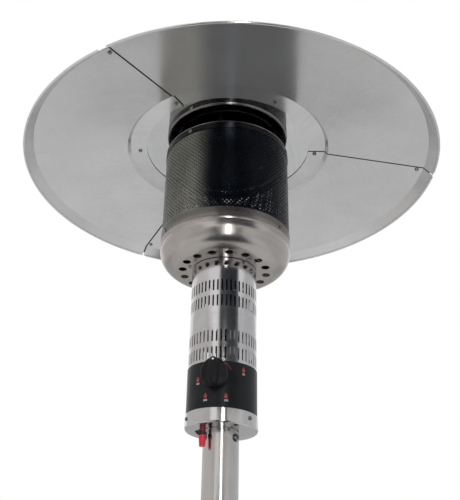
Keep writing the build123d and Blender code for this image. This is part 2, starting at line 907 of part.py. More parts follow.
def bolt_holes(height):
    """Three radial holes for the post bolts at a height."""
    with BuildPart() as holes:
        for turn in post_bolt_turns:
            with BuildSketch(outward(20.0, turn, height)):
                Circle(bolt_shank + 0.1)
            extrude(amount=14.0)
    return holes.part


with BuildPart() as post_spigot:
    add(pipe(spigot_radius, spigot_wall, cup_floor - 52.0, cup_floor + 2.3))
    with BuildSketch(Plane.XY.offset(cup_floor + 0.8)):
        Circle(42.0)
        Circle(spigot_radius - 0.5, mode=Mode.SUBTRACT)
        with Locations(inlet_spot):
            Circle(8.6, mode=Mode.SUBTRACT)
        with Locations(*[around(spigot_screw_circle, turn, 0)[:2] for turn in spigot_screw_turns]):
            Circle(small_hole, mode=Mode.SUBTRACT)
    extrude(amount=1.5)
    add(bolt_holes(upper_bolt_height), mode=Mode.SUBTRACT)
save(post_spigot.part, "post_spigot")

with BuildPart() as spigot_screws:
    for turn in spigot_screw_turns:
        below = Plane(origin=around(spigot_screw_circle, turn, cup_floor), z_dir=(0, 0, -1))
        add(screw(below, 3.4, 2.2, small_shank, 5.0))
save(spigot_screws.part, "spigot_screws")

with BuildPart() as post:
    add(pipe(post_radius, post_wall, post_flange_top, cup_floor - 1.5))
    add(bolt_holes(upper_bolt_height), mode=Mode.SUBTRACT)
    add(bolt_holes(lower_bolt_height), mode=Mode.SUBTRACT)
save(post.part, "post")

with BuildPart() as post_bolts:
    for height in (upper_bolt_height, lower_bolt_height):
        for turn in post_bolt_turns:
            add(screw(outward(post_radius + 1.0, turn, height), 5.5, 3.6, bolt_shank, 10.0))
            with BuildSketch(outward(post_radius + 0.02, turn, height)):
                Circle(7.0)
            extrude(amount=0.98)
save(post_bolts.part, "post_bolts")

flange_sheet = 3.0
flange_bolt_circle = 60.0

with BuildPart() as post_flange:
    with BuildSketch(Plane.XY.offset(post_flange_top - flange_sheet)):
        Circle(74.0)
        with PolarLocations(flange_bolt_circle, 3, start_angle=heading(60.0)):
            Circle(3.1, mode=Mode.SUBTRACT)
    extrude(amount=flange_sheet)
    add(pipe(spigot_radius, spigot_wall, post_flange_top - 1.0, post_flange_top + 50.0))
    add(bolt_holes(lower_bolt_height), mode=Mode.SUBTRACT)
save(post_flange.part, "post_flange")

# Base, support brackets and wheels

bracket_turns = (60.0, 180.0, 300.0)
foot_bolt_circle = 170.0


def support_bracket(turn):
    """Bent flat bar from the post's flange out and down to the base."""
    flange_low_face = post_flange_top - flange_sheet
    course = [
        (46.0, flange_low_face),
        (82.0, flange_low_face),
        (bracket_radius + 1.5, flange_low_face - 77.0),
        (bracket_radius + 1.5, platform_top),
        (156.0, platform_top),
    ]
    with BuildPart() as bar:
        with BuildSketch(Plane.XZ):
            with BuildLine():
                FilletPolyline(*course, radius=12.0)
                offset(amount=bracket_sheet, side=Side.RIGHT)
            make_face()
        extrude(amount=bracket_width / 2, both=True)
        with BuildSketch(Plane.XY.offset(platform_top - 5.0)):
            with Locations((foot_bolt_circle, 0)):
                Circle(3.1)
        extrude(amount=12.0, mode=Mode.SUBTRACT)
        with BuildSketch(Plane.XY.offset(flange_low_face - 6.0)):
            with Locations((flange_bolt_circle, 0)):
                Circle(3.1)
        extrude(amount=12.0, mode=Mode.SUBTRACT)
    return bar.part.rotate(Axis.Z, heading(turn))


with BuildPart() as support_bracket_1:
    add(support_bracket(bracket_turns[0]))
save(support_bracket_1.part, "support_bracket_1")

with BuildPart() as support_bracket_2:
    add(support_bracket(bracket_turns[1]))
save(support_bracket_2.part, "support_bracket_2")

with BuildPart() as support_bracket_3:
    add(support_bracket(bracket_turns[2]))
save(support_bracket_3.part, "support_bracket_3")

with BuildPart() as bracket_bolts:
    for turn in bracket_turns:
        foot_top = Plane(origin=around(foot_bolt_circle, turn, platform_top + bracket_sheet))
        add(screw(foot_top, 5.5, 3.6, 3.0, 9.0))
        flange_face = Plane(origin=around(flange_bolt_circle, turn, post_flange_top))
        add(screw(flange_face, 5.5, 3.6, 3.0, 11.0))
        under_bar = Plane(
            origin=around(flange_bolt_circle, turn, post_flange_top - flange_sheet - bracket_sheet),
            z_dir=(0, 0, -1),
        )
        add(hex_nut(under_bar, 10.0, 4.5, 3.05))
        under_base = Plane(
            origin=around(foot_bolt_circle, turn, platform_top - base_sheet),
            z_dir=(0, 0, -1),
        )
        add(hex_nut(under_base, 10.0, 4.0, 3.05))
save(bracket_bolts.part, "bracket_bolts")

with BuildPart() as base_pan:
    pan_path = [
        (216.0, 0),
        (base_radius - 0.5, 0),
        (base_radius - 4.0, base_top),
        (203.0, base_top),
        (201.0, platform_top),
        (0, platform_top),
    ]
    add(spun_sheet(pan_path, base_sheet, [3.0, 8.0, 2.5, 2.5]))
    with BuildSketch(Plane.XY.offset(platform_top - 5.0)):
        with PolarLocations(foot_bolt_circle, 3, start_angle=heading(bracket_turns[0])):
            Circle(3.1)
    extrude(amount=8.0, mode=Mode.SUBTRACT)
save(base_pan.part, "base_pan")

arm_side = 62.0
web_face = base_radius + 0.1

with BuildPart() as wheel_bracket:
    with BuildSketch(Plane.XY.offset(axle_height - 14.0)):
        with BuildLine():
            Polyline(
                (-arm_side, axle_back + 11.0),
                (-arm_side, web_face),
                (arm_side, web_face),
                (arm_side, axle_back + 11.0),
                (arm_side - 2.5, axle_back + 11.0),
                (arm_side - 2.5, web_face + 2.5),
                (2.5 - arm_side, web_face + 2.5),
                (2.5 - arm_side, axle_back + 11.0),
                close=True,
            )
        make_face()
    extrude(amount=26.0)
    with BuildSketch(Plane.YZ.offset(-arm_side - 2.0)):
        with Locations((axle_back, axle_height)):
            Circle(6.1)
    extrude(amount=2 * arm_side + 4.0, mode=Mode.SUBTRACT)
save(wheel_bracket.part, "wheel_bracket")

shoulder_side = 82.6
wheel_middle = 95.0
hub_half = 12.0
axle_end = 113.0

with BuildPart() as wheel_axle:
    with BuildSketch(Plane.YZ.offset(-shoulder_side)):
        with Locations((axle_back, axle_height)):
            Circle(6.0)
    extrude(amount=2 * shoulder_side)
    with BuildSketch(Plane.YZ.offset(-axle_end)):
        with Locations((axle_back, axle_height)):
            Circle(4.0)
    extrude(amount=2 * axle_end)
save(wheel_axle.part, "wheel_axle")

with BuildPart() as axle_caps:
    for low, high in ((-axle_end - 1.5, -wheel_middle - hub_half - 0.4), (wheel_middle + hub_half + 0.4, axle_end + 1.5)):
        with BuildSketch(Plane.YZ.offset(low)):
            with Locations((axle_back, axle_height)):
                Circle(7.5)
        extrude(amount=high - low)
    with BuildSketch(Plane.YZ.offset(-axle_end)):
        with Locations((axle_back, axle_height)):
            Circle(4.02)
    extrude(amount=2 * axle_end, mode=Mode.SUBTRACT)
save(axle_caps.part, "axle_caps")


def wheel(middle):
    """Wheel with hub, spoked web, rim and tyre, on the axle at a place along X."""
    outline = [
        (-hub_half, wheel_bore),
        (-hub_half, 10.0),
        (-2.0, 11.0),
        (-2.0, 29.0),
        (-9.0, 30.0),
        (-10.0, 34.0),
        (-8.0, 38.5),
        (-4.0, wheel_radius),
    ]
    mirrored = [(-x, r) for x, r in reversed(outline)]
    hub_plane = Plane(origin=(middle, axle_back, axle_height), x_dir=(1, 0, 0), z_dir=(0, -1, 0))
    with BuildPart() as body:
        with BuildSketch(hub_plane):
            with BuildLine():
                Polyline(*(outline + mirrored), close=True)
            make_face()
        revolve(axis=Axis((middle, axle_back, axle_height), (1, 0, 0)))
        with BuildSketch(Plane.YZ.offset(middle - 4.0)):
            with Locations((axle_back, axle_height)):
                with PolarLocations(20.0, 6):
                    Circle(5.5)
        extrude(amount=8.0, mode=Mode.SUBTRACT)
    return body.part


with BuildPart() as wheel_left:
    add(wheel(-wheel_middle))
save(wheel_left.part, "wheel_left")

with BuildPart() as wheel_right:
    add(wheel(wheel_middle))
save(wheel_right.part, "wheel_right")

# Tank housing, which lifts up the post

vent_count = 12
vent_rows = (84.0, 655.0)
housing_gap = 0.4

with BuildPart() as tank_housing:
    shell_path = [(tank_radius, base_top + housing_gap)]
    for bead in (112.0, 628.0):
        shell_path += [
            (tank_radius, bead - 5.0),
            (tank_radius + 2.0, bead),
            (tank_radius, bead + 5.0),
        ]
    shell_path.append((tank_radius, tank_top - 8.0))
    add(spun_sheet(shell_path, tank_wall, 3.0))
    for height in vent_rows:
        for k in range(vent_count // 2):
            with BuildSketch(outward(0, 15.0 + 360.0 * k / vent_count, height)):
                SlotOverall(32.0, 6.0)
            extrude(amount=tank_radius + 6.0, both=True, mode=Mode.SUBTRACT)
save(tank_housing.part, "tank_housing")

rivet_turns = (45.0, 135.0, 225.0, 315.0)
rivet_height = tank_top - 11.0
cover_radius = tank_radius + 1.0
neck_radius = 34.5

with BuildPart() as tank_housing_top:
    cover_path = [
        (cover_radius, tank_top - 17.0),
        (cover_radius, tank_top + 6.0),
        (70.0, tank_top + 78.0),
        (neck_radius, tank_top + 86.0),
        (neck_radius, neck_height + 6.0),
    ]
    add(spun_sheet(cover_path, tank_wall, [12.0, 8.0, 3.0]))
save(tank_housing_top.part, "tank_housing_top")

with BuildPart() as housing_bushing:
    bushing_top = neck_height + 6.0
    with BuildSketch(Plane.XZ):
        with BuildLine():
            Polyline(
                (post_radius + 0.5, bushing_top - 16.0),
                (neck_radius - 0.9, bushing_top - 16.0),
                (neck_radius - 0.9, bushing_top),
                (neck_radius + 2.0, bushing_top),
                (neck_radius + 2.0, bushing_top + 3.0),
                (post_radius + 0.5, bushing_top + 3.0),
                close=True,
            )
        make_face()
    revolve(axis=Axis.Z)
save(housing_bushing.part, "housing_bushing")

with BuildPart() as housing_rivets:
    for turn in rivet_turns:
        with BuildSketch(outward(cover_radius, turn, rivet_height)):
            Circle(4.5)
        extrude(amount=2.0, taper=30)
save(housing_rivets.part, "housing_rivets")
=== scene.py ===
import math
import bpy
from mathutils import Matrix, Vector


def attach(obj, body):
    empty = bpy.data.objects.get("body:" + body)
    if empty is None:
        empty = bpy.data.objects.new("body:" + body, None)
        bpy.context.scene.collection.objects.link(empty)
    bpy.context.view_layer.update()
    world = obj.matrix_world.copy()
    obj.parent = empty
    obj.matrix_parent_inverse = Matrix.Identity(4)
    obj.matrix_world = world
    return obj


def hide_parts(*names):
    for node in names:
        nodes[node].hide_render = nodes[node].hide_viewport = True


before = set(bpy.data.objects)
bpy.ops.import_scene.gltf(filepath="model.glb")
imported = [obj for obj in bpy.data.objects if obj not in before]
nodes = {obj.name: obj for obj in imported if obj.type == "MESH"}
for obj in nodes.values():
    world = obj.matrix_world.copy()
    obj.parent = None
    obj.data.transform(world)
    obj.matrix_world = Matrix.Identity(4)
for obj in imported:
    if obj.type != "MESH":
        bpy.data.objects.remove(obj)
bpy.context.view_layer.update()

scene = bpy.context.scene

rimHeight = 2.135        # plane of the reflector's rolled edge
knobHeight = rimHeight - 0.447
bandRadius = 0.0604


# A place about the heater's axis: turn is in degrees from the knob towards +X

def spot(radius, turn, height):
    angle = math.radians(turn - 90)
    return Vector((radius * math.cos(angle), radius * math.sin(angle), height))


# Shader building: a socket with operators, and one method for every other node

class Sock:
    def __init__(self, tree, socket):
        self.tree = tree
        self.socket = socket

    def combine(self, operation, a, b=None):
        node = self.tree.nodes.new("ShaderNodeMath")
        node.operation = operation
        for slotIndex, value in enumerate((a, b)):
            if isinstance(value, Sock):
                self.tree.links.new(value.socket, node.inputs[slotIndex])
            elif value is not None:
                node.inputs[slotIndex].default_value = value
        return Sock(self.tree, node.outputs[0])

    def __add__(self, other):
        return self.combine("ADD", self, other)

    __radd__ = __add__

    def __mul__(self, other):
        return self.combine("MULTIPLY", self, other)

    __rmul__ = __mul__

    def __sub__(self, other):
        return self.combine("SUBTRACT", self, other)

    def __rsub__(self, other):
        return self.combine("SUBTRACT", other, self)

    def clamped(self):
        return self.combine("MINIMUM", self.combine("MAXIMUM", self, 0.0), 1.0)


class Shader:
    def __init__(self, owner):
        owner.use_nodes = True
        self.owner = owner
        self.tree = owner.node_tree
        self.tree.nodes.clear()

    def node(self, kind, settings=None, inputs=None, out=0):
        made = self.tree.nodes.new(kind)
        for key, value in (settings or {}).items():
            setattr(made, key, value)
        for key, value in (inputs or {}).items():
            if isinstance(value, Sock):
                self.tree.links.new(value.socket, made.inputs[key])
            elif isinstance(value, tuple) and len(made.inputs[key].default_value) == 4:
                made.inputs[key].default_value = (*value, 1)
            else:
                made.inputs[key].default_value = value
        return Sock(self.tree, made.outputs[out]) if made.outputs else None

    def place(self):
        return self.node("ShaderNodeTexCoord", out=3)

    def scaled(self, scale):
        return self.node("ShaderNodeVectorMath", {"operation": "MULTIPLY"}, {0: self.place(), 1: scale})

    def turned(self, degrees, scale):
        turnedPlace = self.node("ShaderNodeVectorRotate", {"rotation_type": "Z_AXIS"}, {
            "Vector": self.place(), "Angle": math.radians(degrees)})
        return self.node("ShaderNodeVectorMath", {"operation": "MULTIPLY"}, {0: turnedPlace, 1: scale})

    def height(self):
        return self.node("ShaderNodeSeparateXYZ", inputs={0: self.place()}, out=2)

    def fromAxis(self):
        level = self.scaled((1.0, 1.0, 0.0))
        return self.node("ShaderNodeVectorMath", {"operation": "LENGTH"}, {0: level}, out=1)

    def noise(self, vector, scale, detail=3.0, rough=0.55):
        return self.node("ShaderNodeTexNoise", inputs={
            "Vector": vector, "Scale": scale, "Detail": detail, "Roughness": rough})

    def step(self, value, low, high):
        return self.node("ShaderNodeMapRange", {"interpolation_type": "SMOOTHSTEP"}, {
            "Value": value, "From Min": low, "From Max": high})

    def blend(self, mask, first, second):
        return self.node("ShaderNodeMix", {"data_type": "RGBA"}, {0: mask, 6: first, 7: second}, out=2)

    def seamDistance(self, turns):
        nearest = None
        for turn in turns:
            rotated = self.node("ShaderNodeVectorRotate", {"rotation_type": "Z_AXIS"}, {
                "Vector": self.place(), "Angle": math.radians(90 - turn)})
            along = self.node("ShaderNodeSeparateXYZ", inputs={0: rotated})
            across = self.node("ShaderNodeSeparateXYZ", inputs={0: rotated}, out=1)
            gap = across.combine("ABSOLUTE", across) + 10 * along.combine("LESS_THAN", along, 0.0)
            nearest = gap if nearest is None else nearest.combine("MINIMUM", nearest, gap)
        return nearest

    def bump(self, height, distance, strength=1.0, under=None):
        inputs = {"Height": height, "Distance": distance, "Strength": strength}
        if under:
            inputs["Normal"] = under
        return self.node("ShaderNodeBump", inputs=inputs)

    def surface(self, **values):
        shader = self.node("ShaderNodeBsdfPrincipled", inputs={
            key.replace("_", " "): value for key, value in values.items()})
        self.node("ShaderNodeOutputMaterial", inputs={"Surface": shader})
        return self.owner


def material(name):
    return Shader(bpy.data.materials.new(name))


# Metals: grain runs along one direction, with handling marks and slow shade changes

steelMix = {"grain": 0.35, "cloud": 0.4, "smear": 0.25, "darkAt": 0.34, "lightAt": 0.66, "smearScale": 5,
            "heatShare": 0.8, "heatRagged": 0.02, "grainRough": 0.06, "seamPaintedShadow": (0.03, 0.03, 0.03),
            "seamCore": 0.6}


def brushedSteel(name, look):
    s = material(name)
    if "turn" in look:
        grainPlace = s.turned(look["turn"], look["grain"])
    else:
        grainPlace = s.scaled(look["grain"])
    grain = s.noise(grainPlace, 1.0, 4.0, 0.6)
    cloud = s.noise(s.place(), look["cloudScale"], 3.0)
    smear = s.noise(s.place(), look["cloudScale"] * steelMix["smearScale"], 4.0, 0.65)
    shade = (steelMix["grain"] * grain + steelMix["cloud"] * cloud + steelMix["smear"] * smear).clamped()
    tone = s.step(shade, steelMix["darkAt"], steelMix["lightAt"])
    colour = s.blend(tone, look["dark"], look["light"])
    if "heat" in look:
        low, high, heatColour = look["heat"]
        heatMask = s.step(s.height() + steelMix["heatRagged"] * (cloud - 0.5), low, high)
        colour = s.blend(heatMask * steelMix["heatShare"], colour, heatColour)
    # painted highlight: a light band on the lid's rolled shoulder, just below its top edge
    if "edge" in look:
        low, lowFull, highFull, high = look["edge"]
        highlightMask = s.step(s.height(), low, lowFull) * s.step(s.height(), high, highFull)
        highlightMask = highlightMask * s.step(s.fromAxis(), *look["edgeRadii"])
        colour = s.blend(highlightMask, colour, look["edgeColour"])
    # painted shadow: the steel is darkened along the seams between the panels
    if "seams" in look:
        width = look["seamWidth"]
        seamShadowMask = s.step(s.seamDistance(look["seams"]), width, width * steelMix["seamCore"])
        colour = s.blend(seamShadowMask, colour, steelMix["seamPaintedShadow"])
    rough = look["rough"] + look["roughVary"] * (smear - 0.5) + steelMix["grainRough"] * (grain - 0.5)
    wave = s.bump(s.noise(s.place(), look["waveScale"], 1.0), look["wave"])
    fine = s.bump(grain, look["grainDepth"], 1.0, wave)
    return s.surface(Base_Color=colour, Metallic=look.get("metallic", 1.0),
                     Roughness=rough.clamped(), Normal=fine)


panelLook = {"dark": (0.60, 0.585, 0.575), "light": (0.74, 0.725, 0.712), "grain": (3.0, 520.0, 520.0),
             "cloudScale": 2.2, "rough": 0.15, "roughVary": 0.08, "waveScale": 5.0, "wave": 0.0005,
             "grainDepth": 0.000004, "seams": (-20.0, 100.0, 220.0), "seamWidth": 0.0021, "metallic": 0.80}
panelMiddles = (40, 160, 280)
panelSteels = [brushedSteel(f"reflectorSteel{k + 1}", dict(panelLook, turn=90 - middle))
               for k, middle in enumerate(panelMiddles)]
plateSteel = brushedSteel("centrePlateSteel", {
    "dark": (0.60, 0.59, 0.58), "light": (0.70, 0.69, 0.68), "grain": (400.0, 3.0, 3.0), "cloudScale": 6.0,
    "rough": 0.06, "roughVary": 0.04, "waveScale": 6.0, "wave": 0.00015, "grainDepth": 0.000002})
bowlSteel = brushedSteel("spunBowlSteel", {
    "dark": (0.41, 0.38, 0.355), "light": (0.52, 0.488, 0.458), "grain": (6.0, 6.0, 900.0),
    "cloudScale": 9.0, "rough": 0.25, "roughVary": 0.10,
    "waveScale": 9.0, "wave": 0.0002, "grainDepth": 0.00002,
    "heat": (rimHeight - 0.180, rimHeight - 0.160, (0.16, 0.148, 0.136))})
lidSteel = brushedSteel("sootedLidSteel", {
    "dark": (0.020, 0.021, 0.023), "light": (0.034, 0.034, 0.036), "grain": (8.0, 8.0, 700.0),
    "cloudScale": 14.0, "rough": 0.24, "roughVary": 0.12, "waveScale": 12.0, "wave": 0.0001,
    "grainDepth": 0.00002,
    "edge": (rimHeight + 0.0350, rimHeight + 0.0362, rimHeight + 0.0388, rimHeight + 0.0396),
    "edgeRadii": (0.110, 0.114), "edgeColour": (0.46, 0.43, 0.42)})
housingSteel = brushedSteel("housingSteel", {
    "dark": (0.52, 0.51, 0.51), "light": (0.64, 0.625, 0.62), "grain": (10.0, 10.0, 800.0),
    "cloudScale": 12.0, "rough": 0.17, "roughVary": 0.08,
    "waveScale": 10.0, "wave": 0.00015, "grainDepth": 0.00001})
cupSteel = brushedSteel("cupSteel", {
    "dark": (0.55, 0.53, 0.52), "light": (0.66, 0.64, 0.63), "grain": (10.0, 10.0, 800.0),
    "cloudScale": 16.0, "rough": 0.16, "roughVary": 0.08,
    "waveScale": 12.0, "wave": 0.0001, "grainDepth": 0.00001})
postSteel = brushedSteel("postSteel", {
    "dark": (0.50, 0.48, 0.465), "light": (0.62, 0.60, 0.585), "grain": (700.0, 700.0, 4.0),
    "cloudScale": 7.0, "rough": 0.22, "roughVary": 0.08,
    "waveScale": 4.0, "wave": 0.0001, "grainDepth": 0.00001})
tankSteel = brushedSteel("tankHousingSteel", {
    "dark": (0.48, 0.475, 0.47), "light": (0.60, 0.595, 0.59), "grain": (500.0, 500.0, 3.0),
    "cloudScale": 3.0, "rough": 0.24, "roughVary": 0.10,
    "waveScale": 3.5, "wave": 0.0005, "grainDepth": 0.00001})
zincSteel = brushedSteel("zincHardware", {
    "dark": (0.42, 0.43, 0.45), "light": (0.60, 0.61, 0.63), "grain": (200.0, 200.0, 200.0),
    "cloudScale": 60.0, "rough": 0.28, "roughVary": 0.2,
    "waveScale": 60.0, "wave": 0.00003, "grainDepth": 0.00001})
screwSteel = brushedSteel("screwSteel", {
    "dark": (0.16, 0.16, 0.165), "light": (0.30, 0.30, 0.31), "grain": (300.0, 300.0, 300.0),
    "cloudScale": 90.0, "rough": 0.26, "roughVary": 0.2,
    "waveScale": 90.0, "wave": 0.00002, "grainDepth": 0.00001})
pipeMetal = brushedSteel("drawnPipe", {
    "dark": (0.52, 0.52, 0.53), "light": (0.68, 0.68, 0.69), "grain": (300.0, 300.0, 20.0),
    "cloudScale": 30.0, "rough": 0.3, "roughVary": 0.15,
    "waveScale": 40.0, "wave": 0.00003, "grainDepth": 0.00001})
brassMetal = brushedSteel("turnedBrass", {
    "dark": (0.50, 0.36, 0.14), "light": (0.72, 0.55, 0.27), "grain": (40.0, 600.0, 40.0),
    "cloudScale": 25.0, "rough": 0.3, "roughVary": 0.2,
    "waveScale": 40.0, "wave": 0.00003, "grainDepth": 0.00001})


# Paint, plastic, enamel and castings: slow shade changes and a fine speckle

coatMix = {"darkAt": 0.35, "lightAt": 0.65, "cloudRough": 0.1, "coatRough": 0.08, "shadeFrom": 0.022,
           "shadeTo": 0.060, "shadeRagged": 0.03, "insideSoft": 0.0003,
           "insidePaintedShade": (0.004, 0.004, 0.005)}


def coated(name, look):
    s = material(name)
    cloud = s.noise(s.place(), look["cloudScale"], 4.0)
    speck = s.noise(s.place(), look["speckScale"], 2.0, 0.7)
    colour = s.blend(s.step(cloud, coatMix["darkAt"], coatMix["lightAt"]), look["dark"], look["light"])
    if "shade" in look:      # painted shade: one side is coloured blue-black, standing in for shadow and dark reflections
        toShadedSide = s.node("ShaderNodeVectorRotate", {"rotation_type": "Z_AXIS"}, {
            "Vector": s.place(), "Angle": math.radians(90 - look["shadeTurn"])})
        side = s.node("ShaderNodeSeparateXYZ", inputs={0: toShadedSide}) + coatMix["shadeRagged"] * (cloud - 0.5)
        colour = s.blend(s.step(side, coatMix["shadeFrom"], coatMix["shadeTo"]), colour, look["shade"])
    if "inside" in look:     # painted shade: the wall's inner face is coloured near-black, so the holes look dark
        outward = s.step(s.fromAxis(), look["inside"], look["inside"] + coatMix["insideSoft"])
        colour = s.blend(outward, coatMix["insidePaintedShade"], colour)
    rough = look["rough"] + look["roughVary"] * (speck - 0.5) + coatMix["cloudRough"] * (cloud - 0.5)
    rough = rough.clamped()
    values = {"Base_Color": colour, "Metallic": look.get("metallic", 0.0), "Roughness": rough,
              "Normal": s.bump(speck, look["depth"], 1.0)}
    if "specular" in look:
        values["Specular_IOR_Level"] = look["specular"]
    if "coat" in look:
        values["Coat_Weight"] = look["coat"]
        values["Coat_Roughness"] = coatMix["coatRough"]
    return s.surface(**values)


screenEnamel = coated("screenEnamel", {
    "dark": (0.19, 0.192, 0.168), "light": (0.31, 0.31, 0.272), "cloudScale": 9.0, "speckScale": 600.0,
    "rough": 0.27, "roughVary": 0.2, "depth": 0.00003, "metallic": 1.0,
    "shadeTurn": 60, "shade": (0.013, 0.017, 0.023), "inside": 0.1208})
bandLacquer = coated("bandLacquer", {
    "dark": (0.005, 0.006, 0.007), "light": (0.009, 0.011, 0.012), "cloudScale": 20.0, "speckScale": 900.0,
    "rough": 0.34, "roughVary": 0.12, "depth": 0.00001, "specular": 0.2})
knobPlastic = coated("knobPlastic", {
    "dark": (0.004, 0.004, 0.005), "light": (0.008, 0.008, 0.009), "cloudScale": 50.0, "speckScale": 2500.0,
    "rough": 0.48, "roughVary": 0.2, "depth": 0.00002, "specular": 0.2})
powderCoat = coated("powderCoat", {
    "dark": (0.035, 0.036, 0.038), "light": (0.055, 0.056, 0.058), "cloudScale": 12.0, "speckScale": 1400.0,
    "rough": 0.5, "roughVary": 0.25, "depth": 0.00006})
wheelPlastic = coated("wheelPlastic", {
    "dark": (0.014, 0.014, 0.014), "light": (0.030, 0.030, 0.029), "cloudScale": 25.0, "speckScale": 1500.0,
    "rough": 0.58, "roughVary": 0.2, "depth": 0.00004})
clipSteel = coated("clipSteel", {
    "dark": (0.010, 0.010, 0.010), "light": (0.022, 0.022, 0.021), "cloudScale": 80.0, "speckScale": 1800.0,
    "rough": 0.4, "roughVary": 0.2, "depth": 0.00003})
stubLacquer = coated("stubLacquer", {
    "dark": (0.13, 0.006, 0.012), "light": (0.23, 0.012, 0.022), "cloudScale": 90.0, "speckScale": 900.0,
    "rough": 0.35, "roughVary": 0.2, "depth": 0.00002, "metallic": 0.3})
capPlastic = coated("capPlastic", {
    "dark": (0.50, 0.010, 0.025), "light": (0.66, 0.018, 0.035), "cloudScale": 90.0, "speckScale": 900.0,
    "rough": 0.32, "roughVary": 0.15, "depth": 0.00002})
castIron = coated("castIron", {
    "dark": (0.05, 0.045, 0.042), "light": (0.10, 0.085, 0.075), "cloudScale": 30.0, "speckScale": 350.0,
    "rough": 0.7, "roughVary": 0.3, "depth": 0.0002, "metallic": 0.5})
glazedCeramic = coated("glazedCeramic", {
    "dark": (0.10, 0.09, 0.08), "light": (0.24, 0.23, 0.21), "cloudScale": 60.0, "speckScale": 700.0,
    "rough": 0.22, "roughVary": 0.1, "depth": 0.00001, "coat": 0.5})
leadSilicone = coated("leadSilicone", {
    "dark": (0.05, 0.05, 0.052), "light": (0.09, 0.09, 0.092), "cloudScale": 60.0, "speckScale": 900.0,
    "rough": 0.5, "roughVary": 0.15, "depth": 0.00003})
bushNylon = coated("bushNylon", {
    "dark": (0.012, 0.012, 0.012), "light": (0.026, 0.026, 0.026), "cloudScale": 40.0, "speckScale": 1200.0,
    "rough": 0.5, "roughVary": 0.15, "depth": 0.00003})
markRed = coated("markRed", {
    "dark": (0.30, 0.008, 0.012), "light": (0.42, 0.012, 0.018), "cloudScale": 300.0, "speckScale": 1800.0,
    "rough": 0.4, "roughVary": 0.1, "depth": 0.00001})
markPink = coated("markPink", {
    "dark": (0.50, 0.10, 0.12), "light": (0.62, 0.16, 0.18), "cloudScale": 300.0, "speckScale": 1800.0,
    "rough": 0.4, "roughVary": 0.1, "depth": 0.00001})
markWhite = coated("markWhite", {
    "dark": (0.66, 0.66, 0.66), "light": (0.78, 0.78, 0.78), "cloudScale": 300.0, "speckScale": 1800.0,
    "rough": 0.4, "roughVary": 0.1, "depth": 0.00001})

nodeFinishes = {
    "reflector_panel_1": panelSteels[0], "reflector_panel_2": panelSteels[1],
    "reflector_panel_3": panelSteels[2], "reflector_centre_plate": plateSteel,
    "burner_bowl": bowlSteel, "emitter_lid": lidSteel,
    "control_housing": housingSteel, "bottom_cup": cupSteel, "post": postSteel, "control_band": bandLacquer,
    "tank_housing": tankSteel, "tank_housing_top": tankSteel, "base_pan": tankSteel,
    "support_bracket_1": powderCoat, "support_bracket_2": powderCoat, "support_bracket_3": powderCoat,
    "post_flange": powderCoat, "wheel_bracket": powderCoat, "wheel_left": wheelPlastic,
    "wheel_right": wheelPlastic, "axle_caps": bushNylon, "housing_bushing": bushNylon,
    "gas_valve": brassMetal, "injector": brassMetal, "tilt_switch": brassMetal, "valve_plunger": brassMetal,
    "outlet_tube": pipeMetal, "pilot_tube": castIron, "supply_tube": pipeMetal, "burner_head": castIron,
    "burner_plate": castIron, "mixing_tube": castIron, "pilot_hood": castIron, "pilot_bracket": castIron,
    "housing_collar": castIron, "thermocouple": castIron,
    "gas_inlet": stubLacquer, "inlet_clamp": clipSteel, "inlet_cap": capPlastic,
    "spark_electrode": glazedCeramic, "ignition_lead": leadSilicone, "igniter": knobPlastic,
    "reflector_screws": screwSteel, "reflector_studs": screwSteel,
}
for name, node in nodes.items():
    for materialSlot in node.material_slots:
        materialSlot.link = "OBJECT"
        materialSlot.material = nodeFinishes.get(name, zincSteel)
print("stage: finishes on", len(nodes), "nodes")


# Making a piece from vertices and faces

def addPiece(name, verts, faces, finish, body, replaced=(), smooth=40):
    mesh = bpy.data.meshes.new(name)
    mesh.from_pydata([tuple(v) for v in verts], [], faces)
    mesh.validate()
    mesh.materials.append(finish)
    piece = bpy.data.objects.new(name, mesh)
    scene.collection.objects.link(piece)
    mesh.shade_smooth()
    mesh.set_sharp_from_angle(angle=math.radians(smooth))
    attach(piece, body)
    if replaced:
        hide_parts(*replaced)


def lathe(profile, count, origin, axis, verts, faces, capEnds=True):
    axis = axis.normalized()
    side = axis.orthogonal().normalized()
    other = axis.cross(side)
    start = len(verts)
    for radius, height in profile:
        for k in range(count):
            angle = 2 * math.pi * k / count
            outward = side * math.cos(angle) + other * math.sin(angle)
            verts.append(origin + axis * height + outward * radius)
    for ring in range(len(profile) - 1):
        for k in range(count):
            a = start + ring * count + k
            b = start + ring * count + (k + 1) % count
            faces.append((a, b, b + count, a + count))
    if capEnds:
        faces.append(tuple(start + k for k in reversed(range(count))))
        last = start + (len(profile) - 1) * count
        faces.append(tuple(last + k for k in range(count)))


# Perforated emitter screen: diamond cells with an eight-sided hole each, closed on both faces

screenLook = {"outer": 0.1213, "wall": 0.0008, "low": rimHeight - 0.173, "high": rimHeight + 0.036,
              "holesLow": rimHeight - 0.1505, "holesAround": 96, "rows": 42, "holeRadius": 0.0017}


